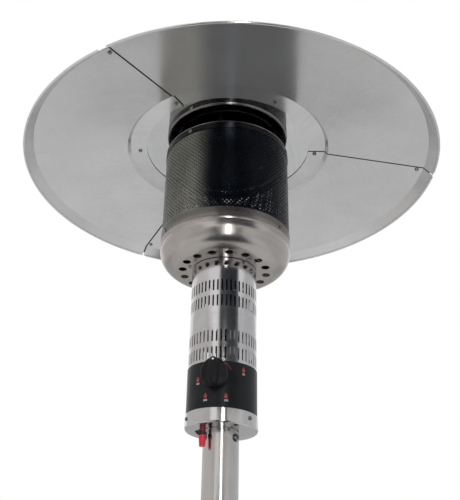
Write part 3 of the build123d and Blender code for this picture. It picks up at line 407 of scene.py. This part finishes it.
def perforatedScreen(look):
    count = look["holesAround"]
    cell = 2 * math.pi / count
    pitch = cell * look["outer"]
    verts, faces, known = [], [], {}

    def vertex(u, v, inner):
        key = (round(u * 1000) % (1000 * count), round(v * 1000), inner)
        if key not in known:
            known[key] = len(verts)
            radius = look["outer"] - (look["wall"] if inner else 0)
            verts.append(spot(radius, math.degrees(u * cell), look["holesLow"] + v * pitch))
        return known[key]

    hole = look["holeRadius"] / pitch
    edge = [(0.5, 0), (0.25, 0.25), (0, 0.5), (-0.25, 0.25),
            (-0.5, 0), (-0.25, -0.25), (0, -0.5), (0.25, -0.25)]
    rimPoints = [(hole * math.cos(math.pi * k / 4), hole * math.sin(math.pi * k / 4)) for k in range(8)]
    for row in range(look["rows"]):
        for column in range(count):
            cu = column + 0.5 * (row % 2)
            cv = 0.5 * (row + 1)
            for k in range(8):
                n = (k + 1) % 8
                outline = [(cu + x, cv + y) for x, y in (edge[k], edge[n], rimPoints[n], rimPoints[k])]
                outerFace = [vertex(*p, False) for p in outline]
                innerFace = [vertex(*p, True) for p in outline]
                faces.append(tuple(outerFace))
                faces.append(tuple(reversed(innerFace)))
                faces.append((outerFace[3], outerFace[2], innerFace[2], innerFace[3]))
    top = 0.5 * (look["rows"] + 1)
    heightLow = (look["low"] - look["holesLow"]) / pitch
    heightHigh = (look["high"] - look["holesLow"]) / pitch
    shift = 0.5 * ((look["rows"] - 1) % 2)
    for column in range(count):
        foot = [(column, 0), (column + 1, 0), (column + 0.75, 0.25), (column + 0.5, 0.5),
                (column + 0.25, 0.25)]
        lower = [(column, heightLow), (column + 1, heightLow)]
        left = column + shift
        crest = [(left, top), (left + 0.25, top - 0.25), (left + 0.5, top - 0.5), (left + 0.75, top - 0.25),
                 (left + 1, top)]
        upper = [(left + 1, heightHigh), (left, heightHigh)]
        for outline in (lower + [foot[1], foot[0]], foot, crest, [crest[0], crest[-1]] + upper):
            faces.append(tuple(vertex(*p, False) for p in outline))
            faces.append(tuple(vertex(*p, True) for p in reversed(outline)))
        for a, b in ((lower[0], lower[1]), (upper[0], upper[1])):
            faces.append((vertex(*b, False), vertex(*a, False), vertex(*a, True), vertex(*b, True)))
    return verts, faces


verts, faces = perforatedScreen(screenLook)
addPiece("emitterScreen", verts, faces, screenEnamel, "heater", ["emitter_screen"], 30)
print("stage: emitter screen,", len(faces), "faces")


# Cross-recessed screws: domed head with a cross cut into it

screwLook = {"sides": 24, "dome": [(1, 0), (1, 0.35), (0.93, 0.66), (0.78, 0.88), (0.62, 0.97)],
             "crossWide": 0.11, "crossLong": 0.48, "crossTaper": 0.8, "crossFloor": 0.25}
washerLook = {"sides": 32, "profile": [(0.0027, -0.00098), (0.007, -0.00098), (0.0071, -0.0005),
                                       (0.0069, -0.00002), (0.0027, -0.00002)]}
boltHead = (0.0055, 0.0036, 0.0025)      # radius and rise of the head, radius of the shank
screwHead = (0.0034, 0.0022, 0.0016)


def crossScrew(origin, axis, head, rise, shank, depth, verts, faces):
    axis = axis.normalized()
    side = axis.orthogonal().normalized()
    other = axis.cross(side)

    def at(x, y, h):
        return origin + side * x + other * y + axis * h

    count = screwLook["sides"]
    rings = [(head * wide, rise * high) for wide, high in screwLook["dome"]]
    start = len(verts)
    for radius, height in rings:
        for k in range(count):
            angle = 2 * math.pi * k / count
            verts.append(at(radius * math.cos(angle), radius * math.sin(angle), height))
    for ring in range(len(rings) - 1):
        for k in range(count):
            a = start + ring * count + k
            b = start + ring * count + (k + 1) % count
            faces.append((a, b, b + count, a + count))
    crossWide, crossLong = head * screwLook["crossWide"], head * screwLook["crossLong"]
    taper, floor = screwLook["crossTaper"], screwLook["crossFloor"]
    outline = []
    for quarter in range(4):
        c, s = [(1, 0), (0, 1), (-1, 0), (0, -1)][quarter]
        for x, y in ((crossWide, -crossWide), (crossLong, -crossWide), (crossLong, crossWide)):
            outline.append((x * c - y * s, x * s + y * c))
    edgeStart = start + (len(rings) - 1) * count
    crossTop = len(verts)
    verts += [at(x, y, rise) for x, y in outline]
    crossLow = len(verts)
    verts += [at(x * taper, y * taper, rise * floor) for x, y in outline]
    total = len(outline)
    nearest = []
    for k in range(count):
        angle = 2 * math.pi * k / count
        p = Vector((math.cos(angle), math.sin(angle)))
        nearest.append(max(range(total), key=lambda m: p.dot(Vector(outline[m]).normalized())))
    for k in range(count):
        n = (k + 1) % count
        faces.append((edgeStart + k, edgeStart + n, crossTop + nearest[k]))
        step = nearest[k]
        while step != nearest[n]:
            following = (step + 1) % total
            faces.append((edgeStart + n, crossTop + following, crossTop + step))
            step = following
    for m in range(total):
        n = (m + 1) % total
        faces.append((crossTop + m, crossTop + n, crossLow + n, crossLow + m))
    faces.append(tuple(crossLow + m for m in range(total)))
    faces.append(tuple(start + k for k in reversed(range(count))))
    lathe([(shank, -depth), (shank, -0.00001)], 16, origin, axis, verts, faces)


def screwPiece(name, places, sizes, replaced, washer=False):
    verts, faces = [], []
    for origin, axis in places:
        crossScrew(origin, axis, *sizes, verts, faces)
        if washer:
            sides, profile = washerLook["sides"], washerLook["profile"]
            lathe(profile, sides, origin, axis, verts, faces, False)
            last = len(verts) - sides
            first = len(verts) - len(profile) * sides
            for k in range(sides):
                n = (k + 1) % sides
                faces.append((last + k, last + n, first + n, first + k))
    addPiece(name, verts, faces, screwSteel, "heater", replaced, 35)


def outwardFrom(radius, turn, height):
    return spot(radius, turn, height), spot(1, turn, 0)


down = Vector((0, 0, -1))
headTurns = (-55.0, 65.0, 185.0)
screwPiece("postBolts", [outwardFrom(0.031, turn, height) for height in (rimHeight - 0.536, 0.781)
                         for turn in (-56.0, 64.0, 184.0)],
           (*boltHead, 0.010), ["post_bolts"], True)
screwPiece("cupScrews", [outwardFrom(0.0614, turn, rimHeight - 0.509) for turn in (-60.0, 60.0, 180.0)],
           (*screwHead, 0.0045), ["cup_screws"])
screwPiece("housingScrews", [outwardFrom(0.0593, turn, rimHeight - 0.235) for turn in headTurns],
           (*screwHead, 0.004), ["housing_screws"])
screwPiece("bowlScrews", [outwardFrom(0.1223, turn, rimHeight - 0.1635) for turn in headTurns]
           + [(spot(0.067, turn, rimHeight - 0.222), down) for turn in (-62.25, 50.25, 185.25)],
           (*screwHead, 0.006), ["bowl_screws"])
screwPiece("spigotScrews", [(spot(0.0375, turn, rimHeight - 0.523), down) for turn in (41.0, 161.0, 281.0)],
           (*screwHead, 0.005), ["spigot_screws"])
print("stage: screws")


# Control knob: a deep body that rises to a pointer, a bar grip on it, and its white dot

knobLook = {"back": 0.0659, "skirt": 0.0225, "front": 0.0872, "barHalf": 0.0088, "barLong": 0.0215,
            "pointer": 0.0055, "roundness": 2.6, "shoulder": 0.003, "dotHeight": 0.0215,
            "body": [(0.0012, 0), (0.0002, 0.0006), (0, 0.0018), (0.0006, 0.0120), (0.0016, 0.0134)],
            "gripStart": 0.0137, "gripRise": 0.0005, "gripFoot": 0.0175,
            "gripTop": [(0.0006, 0.0018), (0.0012, 0.0006), (0.0022, 0)],
            "dot": [(0.0017, -0.0005), (0.0017, 0.00012), (0.0014, 0.0002)]}


def knobPoint(x, z, out):
    return Vector((x, -out, knobHeight + z))


def controlKnob(look):
    verts, faces = [], []
    count = 96
    rings = []

    def circle(radius, out):
        ring = []
        for k in range(count):
            angle = 2 * math.pi * k / count
            reach = radius + look["pointer"] * max(0, math.sin(angle)) ** 2
            ring.append(knobPoint(reach * math.cos(angle), reach * math.sin(angle), out))
        rings.append(ring)

    def grip(grow, out, shoulder):
        ring = []
        for k in range(count):
            angle = 2 * math.pi * k / count
            c, s = math.cos(angle), math.sin(angle)
            half = look["barHalf"] - grow
            reach = look["barLong"] - grow + (look["pointer"] * s if s > 0 else 0)
            power = look["roundness"]
            radius = (abs(c / half) ** power + abs(s / reach) ** power) ** (-1 / power)
            roundRadius = look["skirt"] - look["shoulder"] + look["pointer"] * max(0, s) ** 2
            radius = radius * (1 - shoulder) + roundRadius * shoulder
            ring.append(knobPoint(radius * c, radius * s, out))
        rings.append(ring)

    back = look["back"]
    for inset, out in look["body"]:
        circle(look["skirt"] - inset, back + out)
    for share in range(5):
        grip(0.0, back + look["gripStart"] + look["gripRise"] * share, (1 - share / 4) ** 2)
    grip(0.0002, back + look["gripFoot"], 0)
    for inset, below in look["gripTop"]:
        grip(inset, look["front"] - below, 0)
    for ring in rings:
        verts.extend(ring)
    for r in range(len(rings) - 1):
        for k in range(count):
            n = (k + 1) % count
            faces.append((r * count + k, r * count + n, (r + 1) * count + n, (r + 1) * count + k))
    faces.append(tuple(reversed(range(count))))
    faces.append(tuple((len(rings) - 1) * count + k for k in range(count)))
    return verts, faces


verts, faces = controlKnob(knobLook)
addPiece("controlKnob", verts, faces, knobPlastic, "knob", ["control_knob"], 50)
verts, faces = [], []
dotPlace = knobPoint(0, knobLook["dotHeight"], knobLook["front"])
lathe(knobLook["dot"], 24, dotPlace, Vector((0, -1, 0)), verts, faces)
addPiece("knobDot", verts, faces, markWhite, "knob", (), 30)
print("stage: knob")


# Printed marks on the band, drawn in millimetres: flames over plain figures, an arc by the knob

flameOutline = [(0, 5.0), (0.7, 3.7), (1.9, 2.5), (2.75, 0.9), (2.8, -0.8), (1.9, -2.4), (0.6, -3.1),
                (-0.6, -3.1), (-1.9, -2.4), (-2.8, -0.8), (-2.6, 0.7), (-1.7, 1.7), (-1.0, 3.2)]
marksLook = {"flames": [(-31.4, -0.449, "100"), (-16.0, -0.479, "200"), (17.0, -0.480, "150"),
                        (46.6, -0.431, "50")],
             "proud": 0.00012, "base": 0.00002, "figureSize": 0.0048, "figureDrop": 0.0085,
             "flameSize": 1.15, "ringInner": 0.62, "ringDrop": 0.6, "coreSize": 0.42, "coreDrop": 0.9}


def onBand(x, z, turn, height, proud):
    across = math.degrees(x / 1000 / bandRadius)
    return spot(bandRadius + proud, turn + across, rimHeight + height + z / 1000)


def bandPrint(name, rings, finish):
    verts, faces = [], []
    for outer, turn, height in rings:
        start = len(verts)
        count = len(outer)
        verts += [onBand(x, z, turn, height, marksLook["proud"]) for x, z in outer]
        verts += [onBand(x, z, turn, height, marksLook["base"]) for x, z in outer]
        faces.append(tuple(start + k for k in range(count)))
        faces.append(tuple(start + count + k for k in reversed(range(count))))
        for k in range(count):
            n = (k + 1) % count
            faces.append((start + n, start + k, start + count + k, start + count + n))
    addPiece(name, verts, faces, finish, "heater", (), 20)


def flameRing(scaleOut, scaleIn, drop):
    pieces = []
    count = len(flameOutline)
    for k in range(count):
        n = (k + 1) % count
        a, b = flameOutline[k], flameOutline[n]
        pieces.append([(a[0] * scaleOut, a[1] * scaleOut), (a[0] * scaleIn, a[1] * scaleIn - drop),
                       (b[0] * scaleIn, b[1] * scaleIn - drop), (b[0] * scaleOut, b[1] * scaleOut)])
    return pieces


flameSize = marksLook["flameSize"]
flameRings = [(part, turn, height) for turn, height, _ in marksLook["flames"]
              for part in flameRing(flameSize, flameSize * marksLook["ringInner"], marksLook["ringDrop"])]
bandPrint("flameMarks", flameRings, markRed)
coreSize, coreDrop = marksLook["coreSize"], marksLook["coreDrop"]
coreRings = [([(x * coreSize, z * coreSize - coreDrop) for x, z in flameOutline], turn, height)
             for turn, height, _ in marksLook["flames"]]
bandPrint("flameCores", coreRings, markPink)


def figureShapes(text, size):
    curve = bpy.data.curves.new("figure" + text, "FONT")
    curve.body = text
    curve.size = size
    curve.align_x = "CENTER"
    curve.resolution_u = 4
    holder = bpy.data.objects.new("figureHolder", curve)
    scene.collection.objects.link(holder)
    bpy.context.view_layer.update()
    mesh = bpy.data.meshes.new_from_object(holder.evaluated_get(bpy.context.evaluated_depsgraph_get()))
    shapes = [[(mesh.vertices[i].co.x * 1000, mesh.vertices[i].co.y * 1000) for i in face.vertices]
              for face in mesh.polygons]
    bpy.data.objects.remove(holder)
    bpy.data.meshes.remove(mesh)
    bpy.data.curves.remove(curve)
    return shapes


figureRings = [(shape, turn, height - marksLook["figureDrop"]) for turn, height, text in marksLook["flames"]
               for shape in figureShapes(text, marksLook["figureSize"])]
bandPrint("figureMarks", figureRings, markWhite)

arcLook = {"start": 64, "step": 3.2, "parts": 12, "inner": 28.6, "outer": 29.4, "height": -0.447}
arcRings = []
for k in range(arcLook["parts"]):
    low = math.radians(arcLook["start"] - arcLook["step"] * k)
    high = math.radians(arcLook["start"] - arcLook["step"] * (k + 1))
    corners = [(arcLook[side], angle) for side, angle in
               (("inner", high), ("outer", high), ("outer", low), ("inner", low))]
    arcRings.append(([(r * math.cos(a), r * math.sin(a)) for r, a in corners], 0.0, arcLook["height"]))
bandPrint("arcMark", arcRings, markRed)
print("stage: marks")


# Stage: pale floor, soft lamps, and cards that only show as reflections in the steel

def quad(name, width, height, origin, facing, finish):
    mesh = bpy.data.meshes.new(name)
    corners = [(-0.5, -0.5), (0.5, -0.5), (0.5, 0.5), (-0.5, 0.5)]
    mesh.from_pydata([(x * width, y * height, 0) for x, y in corners], [], [(0, 1, 2, 3)])
    mesh.materials.append(finish)
    item = bpy.data.objects.new(name, mesh)
    item.location = origin
    item.rotation_euler = facing.to_track_quat("Z", "Y").to_euler()
    scene.collection.objects.link(item)
    return item


floorShade = material("paleFloor")
floorTone = floorShade.blend(floorShade.step(floorShade.noise(floorShade.place(), 1.2), 0.3, 0.7),
                             (0.78, 0.78, 0.775), (0.82, 0.82, 0.815))
floorMaterial = floorShade.surface(Base_Color=floorTone, Roughness=0.8, Specular_IOR_Level=0.0)
quad("studioFloor", 60, 60, Vector((0, 0, 0)), Vector((0, 0, 1)), floorMaterial)


def card(name, width, height, turn, distance, middle, shade, flat=False):
    tone = material(name + "Tone")
    finish = tone.surface(Base_Color=shade, Roughness=0.9)
    origin = spot(distance, turn, middle)
    item = quad(name, width, height, origin, Vector((-origin.x, -origin.y, 0)), finish)
    if flat:
        item.rotation_euler = (0, 0, math.radians(turn))
    item.visible_camera = False
    item.visible_diffuse = False
    item.visible_shadow = False
    item.visible_transmission = False


cardLooks = [("frontCard", 3.0, 1.4, 29, 2.4, 3.10, (0.014, 0.022, 0.030)),
             ("frontLowCard", 1.0, 2.38, 16, 2.4, 1.21, (0.014, 0.022, 0.030)),
             ("frontFootCard", 2.4, 1.92, 17, 2.3, 0.97, (0.014, 0.020, 0.026)),
             ("floorCard", 2.2, 2.05, 17, 1.36, 0.006, (0.014, 0.020, 0.026), True),
             ("frontRightCard", 1.65, 2.38, 46, 2.42, 1.21, (0.93, 0.91, 0.885)),
             ("rightCard", 6.0, 3.4, 110, 2.7, 1.72, (0.78, 0.785, 0.79)),
             ("leftCard", 7.0, 3.4, -75, 2.8, 1.72, (0.94, 0.905, 0.88)),
             ("backCard", 5.0, 2.6, 190, 3.4, 1.32, (0.66, 0.655, 0.65))]
for look in cardLooks:
    card(*look)


def lamp(name, power, size, origin, target, sizeY=None):
    light = bpy.data.lights.new(name, "AREA")
    light.energy = power
    light.size = size
    if sizeY:
        light.shape = "RECTANGLE"
        light.size_y = sizeY
    item = bpy.data.objects.new(name, light)
    item.location = origin
    item.rotation_euler = (target - origin).to_track_quat("-Z", "Y").to_euler()
    item.visible_glossy = sizeY is not None      # soft lamps leave no hot spots on the steel
    scene.collection.objects.link(item)


head = Vector((0, 0, 1.9))
lampLooks = [("stripLamp", 13.5, 0.09, spot(2.1, 15.5, 1.42), head, 2.1),
             ("leftLamp", 45, 1.6, spot(3.2, -70, 3.0), Vector((0, 0, 0.9)), None),
             ("rightLamp", 30, 1.6, spot(3.4, 75, 3.0), Vector((0, 0, 0.9)), None),
             ("backLamp", 35, 2.0, spot(3.6, 180, 3.4), Vector((0, 0, 0.9)), None)]
for look in lampLooks:
    lamp(*look)

world = bpy.data.worlds.new("studio")
scene.world = world
w = Shader(world)
lightPath = w.tree.nodes.new("ShaderNodeLightPath")
seen = (Sock(w.tree, lightPath.outputs["Is Camera Ray"]) + Sock(w.tree, lightPath.outputs["Is Glossy Ray"])
        + Sock(w.tree, lightPath.outputs["Is Transmission Ray"])).clamped()
white = w.node("ShaderNodeBackground", inputs={"Color": (1.0, 1.0, 1.0), "Strength": 1.0})
soft = w.node("ShaderNodeBackground", inputs={"Color": (0.93, 0.96, 1.0), "Strength": 0.55})
shown = w.node("ShaderNodeMixShader", inputs={0: seen, 1: soft, 2: white})
w.node("ShaderNodeOutputWorld", inputs={"Surface": shown})

# Camera at the photograph's angle

# angles in radians apart from the turn, the focal length and the middle in pixels of the photograph
cameraLook = {"turn": 10.5, "distance": 1.237936, "drop": 0.859720, "yaw": -0.0904, "pitch": 0.5020,
              "roll": -0.0643, "focal": 743.188, "middle": 165.757}
yaw, pitch, roll = cameraLook["yaw"], cameraLook["pitch"], cameraLook["roll"]
ahead = Vector((math.sin(yaw) * math.cos(pitch), math.cos(yaw) * math.cos(pitch), math.sin(pitch)))
right = Vector((math.cos(yaw), -math.sin(yaw), 0))
below = -right.cross(ahead)
rolledRight = right * math.cos(roll) + below * math.sin(roll)
rolledBelow = below * math.cos(roll) - right * math.sin(roll)
basis = Matrix((rolledRight, -rolledBelow, -ahead)).transposed()
camera = bpy.data.objects.new("camera", bpy.data.cameras.new("camera"))
frameWide, frameHigh, sensor = 460, 500, 36
camera.data.lens = cameraLook["focal"] * sensor / frameHigh
camera.data.shift_x = (frameWide / 2 - cameraLook["middle"]) / frameHigh
camera.data.clip_end = 50
place = Matrix.Rotation(math.radians(cameraLook["turn"]), 4, "Z") @ (
    Matrix.Translation((0, -cameraLook["distance"], rimHeight - cameraLook["drop"])) @ basis.to_4x4())
camera.matrix_world = place
scene.collection.objects.link(camera)
scene.camera = camera

scene.view_settings.view_transform = "Standard"
print("stage: lamps and camera")
